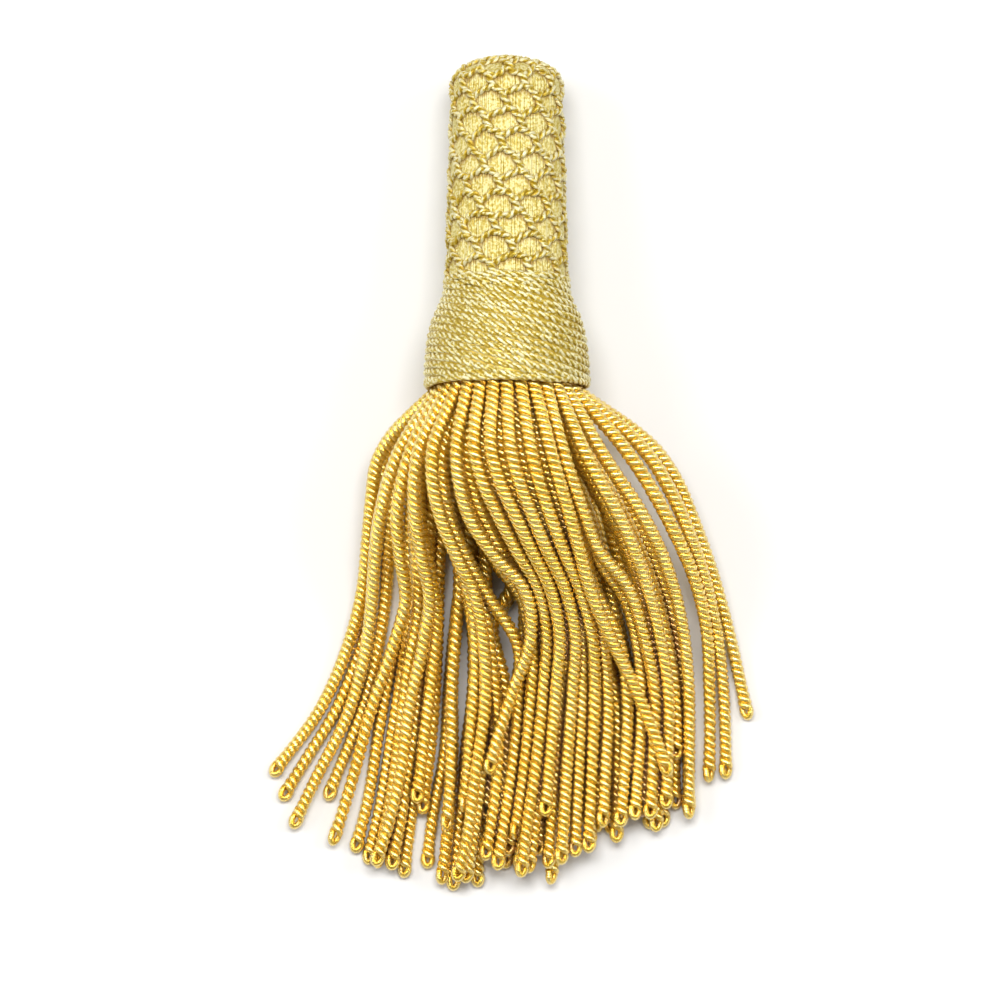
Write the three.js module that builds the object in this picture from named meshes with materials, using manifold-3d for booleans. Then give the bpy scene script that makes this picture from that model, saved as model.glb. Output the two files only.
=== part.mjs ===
import * as THREE from 'three';
import { mergeVertices } from 'three/addons/utils/BufferGeometryUtils.js';
import Module from 'manifold-3d';

// A bullion tassel lying on a level surface at z = 0, in millimetres. Its head points to +Y and its
// strands fan out to -Y. Places on the head are measured from its far end along its own axis ("along"),
// from that axis ("radius") and round it from the top ("angle", in degrees, with +X at 90).

const GAP = 0.3;

// The head as a whole: the outline of the netted shank is a half ellipsoid and then a slow cone.
const HEAD = {
  x: -0.5,
  rimY: 13.6,
  rimAlong: 51.5,
  domeRadius: 8.8,
  domeDepth: 4.6,
  neckRadius: 9.6,
  neckAlong: 36.4,
  flatDepth: 0.35,
};

const STEM = { slack: 0.15, endRadius: 3, spigotRadius: 5, spigotEnd: 42, segments: 40, domeSteps: 5 };

// The net over the shank: closed rings of arches, the low points of each ring tied by a short bar to
// the peaks of the next. Rings are placed by their distance over the dome from the middle of the end.
const NET = {
  cord: 0.85,
  width: 1,
  meshes: 10,
  rings: 12,
  firstRing: 5.4,
  ringPitch: 3.26,
  arch: 1.45,
  archRound: 0.3,
  lastLow: 41.7,
  firstAngle: 22,
  twistPerRing: 1.6,
  lean: 2,
};

// The bell of wound cord. Its outline is the radius over the crests of the rows.
const COLLAR = {
  start: 36.7,
  rows: 13,
  rowDepth: 0.25,
  rowTilt: 12,
  segments: 40,
  outline: [
    { along: 36.7, radius: 9.9 },
    { along: 38.9, radius: 10.7 },
    { along: 41.2, radius: 11.75 },
    { along: 44.5, radius: 12.6 },
    { along: 48.3, radius: 12.95 },
    { along: 51.5, radius: 13 },
  ],
  mouthRadius: 12.1,
  mouthDepth: 3,
};

// Where the lying head touches the surface: the end of its dome and the belly of its collar.
const REST = { domeAlong: HEAD.domeDepth, bellyAlong: 48.3 };

const HEADING = { radius: 11.75, thickness: 1.6, segments: 48 };

// Bullion strands, and the rings in which they are rooted in the heading.
const STRAND = {
  radius: 0.98,
  spacing: 2.06,
  rootAlong: 49.8,
  mouthClear: 0.8,
  lastSection: 4,
  tipTaper: 1.2,
  tipSpread: 1.8,
  tipStep: 0.25,
  sideSpread: 0.7,
};
const ROOT_RINGS = [
  { radius: 10.75, count: 32 },
  { radius: 8.6, count: 25 },
  { radius: 6.45, count: 18 },
];

// Distances along a strand, from the mouth of the collar, at which it has a section, and the steps in
// which its length is measured.
const SECTIONS = [0, 3, 6.5, 11, 16, 22, 29, 37, 46, 56, 67];
const STRAND_DIVISIONS = 400;

// Stations across the skirt: how far each lies to -Y, the height of the topmost strands there over
// the middle of the bundle and over its sides, and how far the lowest strands fan out.
const STATIONS = [
  { name: 'crest', y: 2.9, peak: 28, side: 13, spread: 15 },
  { name: 'slope', y: -8, peak: 23.5, side: 10.5, spread: 17 },
  { name: 'knee', y: -20.4, peak: 13.5, side: 4.5, spread: 19 },
  { name: 'floor', y: -34.3, peak: 5, side: 1, spread: 22 },
  { name: 'outer', y: -49.8, peak: 3, side: 1, spread: 25 },
  { name: 'far', y: -63.8, peak: 2.5, side: 1, spread: 28 },
];

// The sweep of the topmost strands, by the angle at which they leave the mouth: x at each station,
// and y at the tip.
const SWEEPS = [
  { angle: -92, crest: -20.4, slope: -21.8, knee: -23.2, floor: -28.2, outer: -39.6, far: -49.5, tip: -49 },
  { angle: -84, crest: -18.9, slope: -21, knee: -22.3, floor: -26, outer: -35.5, far: -43.9, tip: -52.3 },
  { angle: -78, crest: -17.1, slope: -20.3, knee: -21.5, floor: -23.9, outer: -30.8, far: -37.2, tip: -54.8 },
  { angle: -73, crest: -16.2, slope: -18.8, knee: -19.6, floor: -22.3, outer: -29.3, far: -35, tip: -50 },
  { angle: -67, crest: -15.4, slope: -17.4, knee: -16, floor: -20.9, outer: -24.8, far: -29.1, tip: -60.6 },
  { angle: -60, crest: -14.6, slope: -15.4, knee: -13.9, floor: -18.3, outer: -20.3, far: -25, tip: -60.9 },
  { angle: -52, crest: -13.8, slope: -13.8, knee: -11.3, floor: -12.7, outer: -15, far: -18.6, tip: -61.6 },
  { angle: -42, crest: -11.3, slope: -9.5, knee: -3.4, floor: -2, outer: -2, far: -3.7, tip: -64 },
  { angle: -31, crest: -7.6, slope: -5.3, knee: 1.2, floor: 3.6, outer: 2.6, far: -0.2, tip: -63.8 },
  { angle: -18, crest: -4.5, slope: 0.5, knee: 6.4, floor: 5.9, outer: 3.9, far: 2.2, tip: -64 },
  { angle: 9, crest: 2.8, slope: 6.4, knee: 11.6, floor: 11, outer: 10.2, far: 10.5, tip: -61.3 },
  { angle: 23, crest: 6.7, slope: 10.2, knee: 14, floor: 17.4, outer: 16.6, far: 14.7, tip: -57 },
  { angle: 56, crest: 14.1, slope: 21.2, knee: 26, floor: 27.9, outer: 27.9, far: 27.9, tip: -55 },
  { angle: 67, crest: 18.1, slope: 24.5, knee: 29.3, floor: 30.6, outer: 30.6, far: 29.8, tip: -50 },
  { angle: 78, crest: 21.1, slope: 27, knee: 31, floor: 33, outer: 33.2, far: 33.2, tip: -50.6 },
  { angle: 92, crest: 23.6, slope: 29, knee: 33.1, floor: 36.6, outer: 40.2, far: 43, tip: -36.9 },
];

// How far the lowest strands lean out to each side, as a share of the angle of those above them.
const LOW_LEAN = { left: 1.08, right: 0.62 };

// Topmost strands that cross over the others, with their own x at the last stations.
const STRAY_LAYER = 0.99;
const STRAYS = [
  { angle: -33.75, knee: 2.4, floor: -0.5, outer: -5.6, far: -10, tip: -45.8 },
  { angle: 22.5, knee: 14, floor: 20.5, outer: 25.9, far: 27, tip: -49.2 },
];

// Places where the strands part, from the top down to a given layer. Sizes are half widths and lengths.
const PARTINGS = [
  { x: -9.4, y: -21.5, width: 1.1, length: 9, lowest: 0 },
  { x: -7.2, y: -32, width: 1, length: 9, lowest: 0 },
  { x: -0.8, y: -21.8, width: 2.4, length: 9, lowest: 0 },
  { x: -11, y: -52, width: 0.5, length: 9, lowest: 0 },
  { x: 15.6, y: -16.5, width: 2.2, length: 9, lowest: 0.5 },
  { x: 29.4, y: -40, width: 0.5, length: 18, lowest: 0 },
];

// How the strands are settled against each other.
const SETTLE = { rounds: 280, freeRounds: 100, closingRounds: 12, smoothing: 0.25, pull: 0.02, cell: 9 };

const wasm = await Module();
wasm.setup();

// A closed geometry as a solid, with doubled vertices merged and empty triangles dropped.
function solid(geometry) {
  const bare = geometry.clone();
  bare.deleteAttribute('normal');
  bare.deleteAttribute('uv');
  const merged = mergeVertices(bare, 1e-5);
  const corners = [];
  for (let i = 0; i < merged.index.count; i += 3) {
    const [a, b, c] = merged.index.array.slice(i, i + 3);
    if (a !== b && b !== c && c !== a) corners.push(a, b, c);
  }
  return new wasm.Manifold(new wasm.Mesh({
    numProp: 3,
    vertProperties: merged.attributes.position.array,
    triVerts: new Uint32Array(corners),
  }));
}

// The geometry of a solid.
function geometryOf(made) {
  const mesh = made.getMesh();
  const geometry = new THREE.BufferGeometry();
  geometry.setAttribute('position', new THREE.BufferAttribute(new Float32Array(mesh.vertProperties), 3));
  geometry.setIndex(new THREE.BufferAttribute(new Uint32Array(mesh.triVerts), 1));
  geometry.computeVertexNormals();
  return geometry;
}

// A geometry from vertices and from faces that list their corners in turn.
function facedGeometry(vertices, faces) {
  const triangles = [];
  for (const face of faces) {
    for (let k = 2; k < face.length; k += 1) triangles.push(face[0], face[k - 1], face[k]);
  }
  const geometry = new THREE.BufferGeometry().setFromPoints(vertices);
  geometry.setIndex(triangles);
  return geometry;
}

// The value between the rows of a table, by the straight line between them.
function between(table, key, at, column) {
  const last = table.length - 1;
  let row = 1;
  while (row < last && table[row][key] < at) row += 1;
  const low = table[row - 1];
  const high = table[row];
  const part = THREE.MathUtils.clamp((at - low[key]) / (high[key] - low[key]), 0, 1);
  return THREE.MathUtils.lerp(low[column], high[column], part);
}

// A repeatable source of numbers from 0 to 1.
function makeRandom(seed) {
  let state = seed;
  return () => {
    state = (state * 1664525 + 1013904223) % 4294967296;
    return state / 4294967296;
  };
}

// Head

const collarRadius = (along) => between(COLLAR.outline, 'along', along, 'radius');
const tilt = Math.atan(
  (collarRadius(REST.bellyAlong) - HEAD.domeRadius) / (REST.bellyAlong - REST.domeAlong),
);

const head = new THREE.Group();
head.name = 'head';
head.rotation.x = -tilt;
head.position.set(
  HEAD.x,
  HEAD.rimY + HEAD.rimAlong * Math.cos(tilt),
  HEAD.domeRadius * Math.cos(tilt) - REST.domeAlong * Math.sin(tilt) - HEAD.flatDepth,
);
head.updateMatrix();

// A place on the head, in the head's own frame.
function headPoint(along, radius, angle) {
  const turn = THREE.MathUtils.degToRad(angle);
  return new THREE.Vector3(radius * Math.sin(turn), -along, radius * Math.cos(turn));
}

// A solid of the head with what would lie below the surface taken off.
function restedOnSurface(made) {
  const ground = new THREE.BoxGeometry(200, 400, 100);
  ground.translate(0, 0, -50);
  ground.applyMatrix4(head.matrix.clone().invert());
  return made.subtract(solid(ground));
}

// The outline of the netted shank, from the middle of its end to its neck, as radius and distance along.
function shankOutline() {
  const { domeRadius, domeDepth, neckRadius, neckAlong } = HEAD;
  const outline = new THREE.CurvePath();
  outline.add(new THREE.EllipseCurve(0, domeDepth, domeRadius, domeDepth, -Math.PI / 2, 0));
  outline.add(new THREE.LineCurve(
    new THREE.Vector2(domeRadius, domeDepth),
    new THREE.Vector2(neckRadius, neckAlong),
  ));
  return outline;
}

function stemGeometry() {
  const inset = NET.cord + GAP + STEM.slack;
  const domeRadius = HEAD.domeRadius - inset;
  const domeDepth = HEAD.domeDepth - inset;
  const firstTurn = Math.asin(STEM.endRadius / domeRadius);
  const profile = [new THREE.Vector2(0, -HEAD.domeDepth + domeDepth * Math.cos(firstTurn))];
  for (let k = 0; k <= STEM.domeSteps; k += 1) {
    const turn = THREE.MathUtils.lerp(firstTurn, Math.PI / 2, k / STEM.domeSteps);
    profile.push(new THREE.Vector2(
      domeRadius * Math.sin(turn),
      -HEAD.domeDepth + domeDepth * Math.cos(turn),
    ));
  }
  profile.push(new THREE.Vector2(HEAD.neckRadius - inset, -HEAD.neckAlong));
  profile.push(new THREE.Vector2(STEM.spigotRadius, -HEAD.neckAlong));
  profile.push(new THREE.Vector2(STEM.spigotRadius, -STEM.spigotEnd));
  profile.push(new THREE.Vector2(0, -STEM.spigotEnd));
  return new THREE.LatheGeometry(profile.reverse(), STEM.segments);
}

// The cords of the net as a graph: knots with an angle and a distance over the outline, and links.
function netGraph() {
  const knots = [];
  const links = [];
  const step = 360 / NET.meshes;
  const addKnot = (angle, over) => knots.push({ angle, over, links: [] }) - 1;
  const link = (from, to) => {
    links.push([from, to]);
    knots[from].links.push(to);
    knots[to].links.push(from);
  };
  let lows = [];
  for (let ring = 0; ring < NET.rings; ring += 1) {
    const over = NET.firstRing + ring * NET.ringPitch;
    const lowOver = Math.min(over + NET.arch, NET.lastLow);
    const midOver = THREE.MathUtils.lerp(over, lowOver, NET.archRound);
    const first = NET.firstAngle - ring * NET.twistPerRing + (ring * step) / 2;
    const nextLows = [];
    let previousLow = null;
    let firstPeak = null;
    for (let k = 0; k < NET.meshes; k += 1) {
      const angle = first + k * step;
      const peak = addKnot(angle, over);
      const rightMid = addKnot(angle + step / 4, midOver);
      const low = addKnot(angle + step / 2 - NET.lean, lowOver);
      link(peak, rightMid);
      link(rightMid, low);
      nextLows.push(low);
      const joinLeft = (highKnot, lowKnot) => {
        const leftMid = addKnot(knots[highKnot].angle - step / 4, midOver);
        link(highKnot, leftMid);
        link(leftMid, lowKnot);
      };
      if (previousLow === null) firstPeak = peak;
      else joinLeft(peak, previousLow);
      if (k === NET.meshes - 1) joinLeft(firstPeak, low);
      previousLow = low;
      if (lows.length) link(lows[k], peak);
    }
    lows = nextLows;
  }
  return { knots, links };
}

// The net as one solid: four-sided cords with a ridge outside and one inside, mitred at the knots.
function netGeometry() {
  const outline = shankOutline();
  const length = outline.getLength();
  const { knots, links } = netGraph();
  const vertices = [];

  const place = (angle, over, height) => {
    const part = Math.min(over / length, 1 - 2e-3);
    const at = outline.getPoint(part);
    const along = outline.getPoint(part + 1e-3).sub(outline.getPoint(part - 1e-3)).normalize();
    vertices.push(headPoint(at.y - along.x * height, at.x + along.y * height, angle));
    return vertices.length - 1;
  };

  knots.forEach((knot) => {
    const girth = THREE.MathUtils.degToRad(outline.getPoint(knot.over / length).x);
    const bearings = knot.links.map((other) => {
      let turn = knots[other].angle - knot.angle;
      turn -= 360 * Math.round(turn / 360);
      return { other, bearing: Math.atan2(knots[other].over - knot.over, turn * girth) };
    }).sort((a, b) => a.bearing - b.bearing);
    knot.outer = place(knot.angle, knot.over, 0);
    knot.inner = place(knot.angle, knot.over, -NET.cord);
    knot.after = new Map();
    knot.before = new Map();
    bearings.forEach(({ other, bearing }, k) => {
      const next = bearings[(k + 1) % bearings.length];
      const wedge = THREE.MathUtils.euclideanModulo(next.bearing - bearing, 2 * Math.PI);
      const reach = NET.width / 2 / Math.sin(wedge / 2);
      const middle = bearing + wedge / 2;
      const corner = place(
        knot.angle + (reach * Math.cos(middle)) / girth,
        knot.over + reach * Math.sin(middle),
        -NET.cord / 2,
      );
      knot.after.set(other, corner);
      knot.before.set(next.other, corner);
    });
  });

  const faces = [];
  for (const [from, to] of links) {
    const start = knots[from];
    const end = knots[to];
    const startLeft = start.after.get(to);
    const startRight = start.before.get(to);
    const endLeft = end.before.get(from);
    const endRight = end.after.get(from);
    faces.push([startLeft, endLeft, end.outer, start.outer]);
    faces.push([endRight, startRight, start.outer, end.outer]);
    faces.push([end.inner, endLeft, startLeft, start.inner]);
    faces.push([startRight, endRight, end.inner, start.inner]);
  }
  return facedGeometry(vertices, faces);
}

// The bell: a lathed body whose outer rings lie on the tilted rows of the winding.
function collarGeometry() {
  const end = HEAD.rimAlong;
  const recess = end - COLLAR.mouthDepth;
  const rings = [
    { radius: 0, along: STEM.spigotEnd + GAP },
    { radius: STEM.spigotRadius + GAP, along: STEM.spigotEnd + GAP },
    { radius: STEM.spigotRadius + GAP, along: COLLAR.start },
  ];
  for (let k = 0; k <= COLLAR.rows * 2; k += 1) {
    rings.push({ row: k / (COLLAR.rows * 2), depth: k % 2 ? 0 : COLLAR.rowDepth });
  }
  rings.push({ radius: COLLAR.mouthRadius, along: end });
  rings.push({ radius: COLLAR.mouthRadius, along: recess });
  rings.push({ radius: 0, along: recess });

  const slope = Math.tan(THREE.MathUtils.degToRad(COLLAR.rowTilt));
  rings.reverse();
  const lathe = new THREE.LatheGeometry(rings.map(() => new THREE.Vector2(1, 0)), COLLAR.segments);
  const position = lathe.attributes.position;
  for (let i = 0; i < position.count; i += 1) {
    const ring = rings[i % rings.length];
    const angle = (Math.floor(i / rings.length) % COLLAR.segments) * (360 / COLLAR.segments);
    let { radius, along } = ring;
    if (ring.row !== undefined) {
      const level = THREE.MathUtils.lerp(COLLAR.start, end, ring.row);
      const side = collarRadius(level) * Math.sin(THREE.MathUtils.degToRad(angle));
      along = level + slope * side * 4 * ring.row * (1 - ring.row);
      radius = collarRadius(along) - ring.depth;
    }
    const point = headPoint(along, radius, angle);
    position.setXYZ(i, point.x, point.y, point.z);
  }
  return lathe;
}

// Skirt

// Where a strand leaves the mouth, and the two numbers that place it in the bundle: its angle among
// the topmost strands, and its layer from 0, the lowest, to 1, the topmost.
function strandRoots() {
  const roots = [];
  const outer = ROOT_RINGS[0].radius;
  ROOT_RINGS.forEach(({ radius, count }, ring) => {
    for (let k = 0; k < count; k += 1) {
      const angle = ((k + (ring % 2) / 2) * 360) / count;
      const turn = THREE.MathUtils.degToRad(angle);
      const side = (radius / outer) * Math.sin(turn);
      const height = (radius / outer) * Math.cos(turn);
      const reach = Math.sqrt(Math.max(1 - side * side, 0));
      const layer = THREE.MathUtils.clamp(reach > 0.05 ? (1 + height / reach) / 2 : 0.5, 0, 1);
      const lean = THREE.MathUtils.lerp(side < 0 ? LOW_LEAN.left : LOW_LEAN.right, 1, Math.min(2 * layer, 1));
      roots.push({
        start: headPoint(STRAND.rootAlong, radius, angle).applyMatrix4(head.matrix),
        mouth: headPoint(HEAD.rimAlong + STRAND.mouthClear, radius, angle).applyMatrix4(head.matrix),
        angle: THREE.MathUtils.radToDeg(Math.asin(side)) * lean,
        swept: Math.max(THREE.MathUtils.smoothstep(layer, 0.1, 0.65), side ** 4),
        layer,
      });
    }
  });
  return roots;
}

// The way a strand would take by itself, as its points at SECTIONS and its tip.
function strandRoute(root, random) {
  const sideways = (random() * 2 - 1) * STRAND.sideSpread;
  const shift = (random() * 2 - 1) * STRAND.tipSpread;
  const middle = Math.cos(THREE.MathUtils.degToRad(root.angle));
  const stray = STRAYS.find(({ angle }) => root.layer > STRAY_LAYER && Math.abs(angle - root.angle) < 1);
  const points = [root.mouth];
  STATIONS.forEach(({ name, y, peak, side, spread }, k) => {
    const low = HEAD.x + spread * Math.sin(THREE.MathUtils.degToRad(root.angle));
    const high = stray?.[name] ?? between(SWEEPS, 'angle', root.angle, name);
    const top = THREE.MathUtils.lerp(side, peak, middle) + (stray?.[name] ? 2 * STRAND.radius : 0);
    points.push(new THREE.Vector3(
      THREE.MathUtils.lerp(low, high, root.swept) + (sideways * (k + 1)) / STATIONS.length,
      y,
      THREE.MathUtils.lerp(STRAND.radius, Math.max(top, STRAND.radius), root.layer),
    ));
  });
  const last = points.at(-1);
  points.push(last.clone().multiplyScalar(2).sub(points.at(-2)).setZ(last.z));
  const curve = new THREE.CatmullRomCurve3(points);
  curve.arcLengthDivisions = STRAND_DIVISIONS;
  const total = curve.getLength();
  const tip = (stray ?? { tip: between(SWEEPS, 'angle', root.angle, 'tip') }).tip + shift;
  let length = 0;
  while (curve.getPointAt(length / total).y > tip) length += STRAND.tipStep;
  const stops = SECTIONS.filter((at) => at < length - STRAND.lastSection);
  stops.push(length - STRAND.tipTaper);
  stops.push(length);
  return [root.start, ...stops.map((at) => curve.getPointAt(at / total))];
}

// Keeps the point of a strand out of the partings.
function partedFrom(point, layer) {
  for (const { x, y, width, length, lowest } of PARTINGS) {
    const open = 1 - ((point.y - y) / length) ** 2;
    const away = point.x - x;
    const clear = width * Math.sqrt(Math.max(open, 0)) + STRAND.radius;
    if (layer >= lowest && open > 0 && Math.abs(away) < clear) point.x = x + (away < 0 ? -clear : clear);
  }
}

// The nearest points of two pieces of strand, as the parts of the way along each, and their offset.
function nearest(a, b, c, d) {
  const first = b.clone().sub(a);
  const second = d.clone().sub(c);
  const apart = a.clone().sub(c);
  const firstSquare = first.lengthSq();
  const secondSquare = second.lengthSq();
  const cross = first.dot(second);
  const firstApart = first.dot(apart);
  const secondApart = second.dot(apart);
  const spread = firstSquare * secondSquare - cross * cross;
  const clamp = (value) => THREE.MathUtils.clamp(value, 0, 1);
  let along = spread > 1e-9
    ? clamp((cross * secondApart - firstApart * secondSquare) / spread)
    : 0.5;
  const other = clamp((cross * along + secondApart) / secondSquare);
  along = clamp((cross * other - firstApart) / firstSquare);
  const offset = a.clone().addScaledVector(first, along).sub(c).addScaledVector(second, -other);
  return { along, other, offset };
}

// The pairs of pieces of different strands that lie near each other.
function nearPairs(strands) {
  const cells = new Map();
  strands.forEach((points, strand) => {
    for (let k = 1; k < points.length - 1; k += 1) {
      const middle = points[k].clone().add(points[k + 1]).divideScalar(2 * SETTLE.cell).floor();
      const key = `${middle.x},${middle.y},${middle.z}`;
      if (!cells.has(key)) cells.set(key, []);
      cells.get(key).push({ strand, k, middle });
    }
  });
  const pairs = [];
  const shifts = [-1, 0, 1];
  for (const pieces of cells.values()) {
    const { middle } = pieces[0];
    for (const dx of shifts) for (const dy of shifts) for (const dz of shifts) {
      const others = cells.get(`${middle.x + dx},${middle.y + dy},${middle.z + dz}`) ?? [];
      for (const one of pieces) {
        for (const two of others) if (one.strand < two.strand) pairs.push([one, two]);
      }
    }
  }
  return pairs;
}

// Pushes the strands apart where they meet, and up from the surface, while each keeps its own sweep.
function settle(strands, layers) {
  const wished = strands.map((points) => points.map((point) => point.clone()));
  const fixed = 2;
  let pairs = [];
  for (let round = 0; round < SETTLE.rounds; round += 1) {
    const free = round >= SETTLE.rounds - SETTLE.freeRounds;
    if (round % 20 === 0) pairs = nearPairs(strands);
    strands.forEach((points, strand) => {
      const moved = points.map((point, k) => point.clone().sub(wished[strand][k]));
      for (let k = fixed; k < points.length; k += 1) {
        const next = moved[Math.min(k + 1, points.length - 1)];
        const even = moved[k - 1].clone().add(next).multiplyScalar(0.5);
        const step = free ? SETTLE.smoothing / 8 : SETTLE.smoothing;
        const kept = moved[k].clone().lerp(even, step).multiplyScalar(free ? 1 : 1 - SETTLE.pull);
        points[k].copy(wished[strand][k]).add(kept);
      }
    });
    for (const [one, two] of pairs) {
      const a = strands[one.strand][one.k];
      const b = strands[one.strand][one.k + 1];
      const c = strands[two.strand][two.k];
      const d = strands[two.strand][two.k + 1];
      const { along, other, offset } = nearest(a, b, c, d);
      const distance = offset.length();
      if (distance < STRAND.spacing && distance > 1e-6) {
        const shares = [
          [a, one.k, 1 - along, 1],
          [b, one.k + 1, along, 1],
          [c, two.k, 1 - other, -1],
          [d, two.k + 1, other, -1],
        ].filter(([, k]) => k >= fixed);
        const weight = shares.reduce((sum, [, , part]) => sum + part * part, 0);
        if (weight > 1e-6) {
          const push = (STRAND.spacing - distance) / distance / weight;
          for (const [point, , part, way] of shares) {
            point.addScaledVector(offset, way * push * part);
          }
        }
      }
    }
    strands.forEach((points, strand) => {
      for (let k = fixed; k < points.length; k += 1) {
        points[k].z = Math.max(points[k].z, STRAND.radius);
        if (round < SETTLE.rounds - SETTLE.closingRounds) partedFrom(points[k], layers[strand]);
      }
    });
  }
  return strands;
}

// One strand as a four-sided solid with a corner downwards, which narrows to its tip.
function strandGeometry(points) {
  const vertices = [];
  const last = points.length - 1;
  for (let k = 0; k < last; k += 1) {
    const heading = points[k + 1].clone().sub(points[Math.max(k - 1, 0)]).normalize();
    const side = new THREE.Vector3().crossVectors(heading, new THREE.Vector3(0, 0, 1)).normalize();
    const up = new THREE.Vector3().crossVectors(side, heading);
    for (const way of [up, side.clone().negate(), up.clone().negate(), side]) {
      vertices.push(points[k].clone().addScaledVector(way, STRAND.radius));
    }
  }
  vertices.push(points[last]);
  const faces = [[0, 1, 2, 3]];
  for (let k = 0; k < last - 1; k += 1) {
    for (let side = 0; side < 4; side += 1) {
      const next = (side + 1) % 4;
      faces.push([k * 4 + next, k * 4 + side, k * 4 + 4 + side, k * 4 + 4 + next]);
    }
  }
  for (let side = 0; side < 4; side += 1) {
    const ring = (last - 1) * 4;
    faces.push([ring + ((side + 1) % 4), ring + side, last * 4]);
  }
  return facedGeometry(vertices, faces);
}

function skirtGeometry() {
  const random = makeRandom(7);
  const roots = strandRoots();
  const strands = settle(roots.map((root) => strandRoute(root, random)), roots.map((root) => root.layer));
  const floorAlong = HEAD.rimAlong - COLLAR.mouthDepth + GAP;
  const disc = new THREE.LatheGeometry([
    new THREE.Vector2(0, -floorAlong - HEADING.thickness),
    new THREE.Vector2(HEADING.radius, -floorAlong - HEADING.thickness),
    new THREE.Vector2(HEADING.radius, -floorAlong),
    new THREE.Vector2(0, -floorAlong),
  ], HEADING.segments);
  disc.applyMatrix4(head.matrix);
  return geometryOf(strands.reduce(
    (whole, points) => whole.add(solid(strandGeometry(points))),
    solid(disc),
  ));
}

// The tassel

function piece(name, geometry, material) {
  const mesh = new THREE.Mesh(geometry, material);
  mesh.name = name;
  return mesh;
}

const satin = new THREE.MeshStandardMaterial({ color: 0xe0cd7a, roughness: 0.45, metalness: 0.5 });
const netCord = new THREE.MeshStandardMaterial({ color: 0xd2b653, roughness: 0.4, metalness: 0.7 });
const woundCord = new THREE.MeshStandardMaterial({ color: 0xd8c05c, roughness: 0.4, metalness: 0.7 });
const bullion = new THREE.MeshStandardMaterial({ color: 0xc99a2e, roughness: 0.25, metalness: 1 });

head.add(piece('stem', stemGeometry(), satin));
head.add(piece('stem_net', geometryOf(restedOnSurface(solid(netGeometry()))), netCord));
head.add(piece('collar', geometryOf(restedOnSurface(solid(collarGeometry()))), woundCord));

const skirt = new THREE.Group();
skirt.name = 'strands';
skirt.add(piece('skirt', skirtGeometry(), bullion));

const tassel = new THREE.Group();
tassel.name = 'bullion_tassel';
tassel.add(head, skirt);

// The origin lies on the surface under the middle of the whole tassel.
tassel.updateMatrixWorld(true);
const middle = new THREE.Box3().setFromObject(tassel, true).getCenter(new THREE.Vector3());
for (const group of [head, skirt]) {
  group.position.x -= middle.x;
  group.position.y -= middle.y;
}

export default tassel;
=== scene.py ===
"""A bullion tassel that lies on a pale floor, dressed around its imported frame.

The head is a shank wrapped in satin thread, with a net of twisted cord over it, and a bell wound with
twisted cord. The skirt is made of two-ply twists of bright bullion, each ending in its own small loop.
Sizes are in millimetres until a mesh is made, and the frame's own metres from there on.
"""

import logging
import math
from dataclasses import dataclass, field, replace
from enum import Enum
from typing import Callable, Iterable, Sequence

import bmesh
import bpy
import numpy as np
from bpy.types import Material, Mesh, Node, NodeTree, Object
from bpy.types import NodeSocket as Socket
from mathutils import Matrix, Vector
from mathutils.bvhtree import BVHTree
from mathutils.kdtree import KDTree
from numpy.random import Generator

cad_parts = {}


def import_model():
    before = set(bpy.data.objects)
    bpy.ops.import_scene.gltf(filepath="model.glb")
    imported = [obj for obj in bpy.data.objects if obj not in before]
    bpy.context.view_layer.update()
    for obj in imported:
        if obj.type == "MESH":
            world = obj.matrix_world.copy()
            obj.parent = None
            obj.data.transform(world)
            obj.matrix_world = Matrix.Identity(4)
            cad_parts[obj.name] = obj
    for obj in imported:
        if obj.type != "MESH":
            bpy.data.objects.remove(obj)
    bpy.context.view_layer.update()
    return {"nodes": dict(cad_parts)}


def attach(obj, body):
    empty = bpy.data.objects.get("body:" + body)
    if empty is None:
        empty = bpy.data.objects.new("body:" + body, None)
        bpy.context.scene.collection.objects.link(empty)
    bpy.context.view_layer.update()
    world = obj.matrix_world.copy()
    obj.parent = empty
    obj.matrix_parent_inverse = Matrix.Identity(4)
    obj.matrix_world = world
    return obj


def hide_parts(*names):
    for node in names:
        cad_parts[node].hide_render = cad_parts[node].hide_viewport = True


MM = 0.001
BODY = "root"
PLY_MAP = "ply"
SHADER = "Principled BSDF"
TONE = "tone"
MIDDLE_TONE = 0.5
PAINTED_SHADE_OPEN = "open"
SEED = 7
TURN = 2 * math.pi
SHORTEST = 1e-12
SAME_PLACE = 1e-6
LOG = logging.getLogger("tassel")


class Hand(Enum):
    """The hand of a twist: the plies of an S twist run down to the right, those of a Z twist to the left."""

    S = -1
    Z = 1


class Slot(str, Enum):
    """Names of material slots, which nothing in the script uses."""

    SATIN = "satin_thread"
    NET = "net_cord"
    WINDING = "wound_cord"
    BULLION = "bullion"


# Lines, plies and tubes


def unit(vectors: np.ndarray) -> np.ndarray:
    """Returns vectors, which lie along the last axis, scaled to length one."""
    lengths = np.linalg.norm(vectors, axis=-1, keepdims=True)
    return vectors / np.maximum(lengths, SHORTEST)


def running_length(points: np.ndarray) -> np.ndarray:
    """Returns the distance of each point of a line from the first, along the line."""
    steps = np.linalg.norm(np.diff(points, axis=0), axis=1)
    return np.concatenate([[0.0], np.cumsum(steps)])


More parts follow.
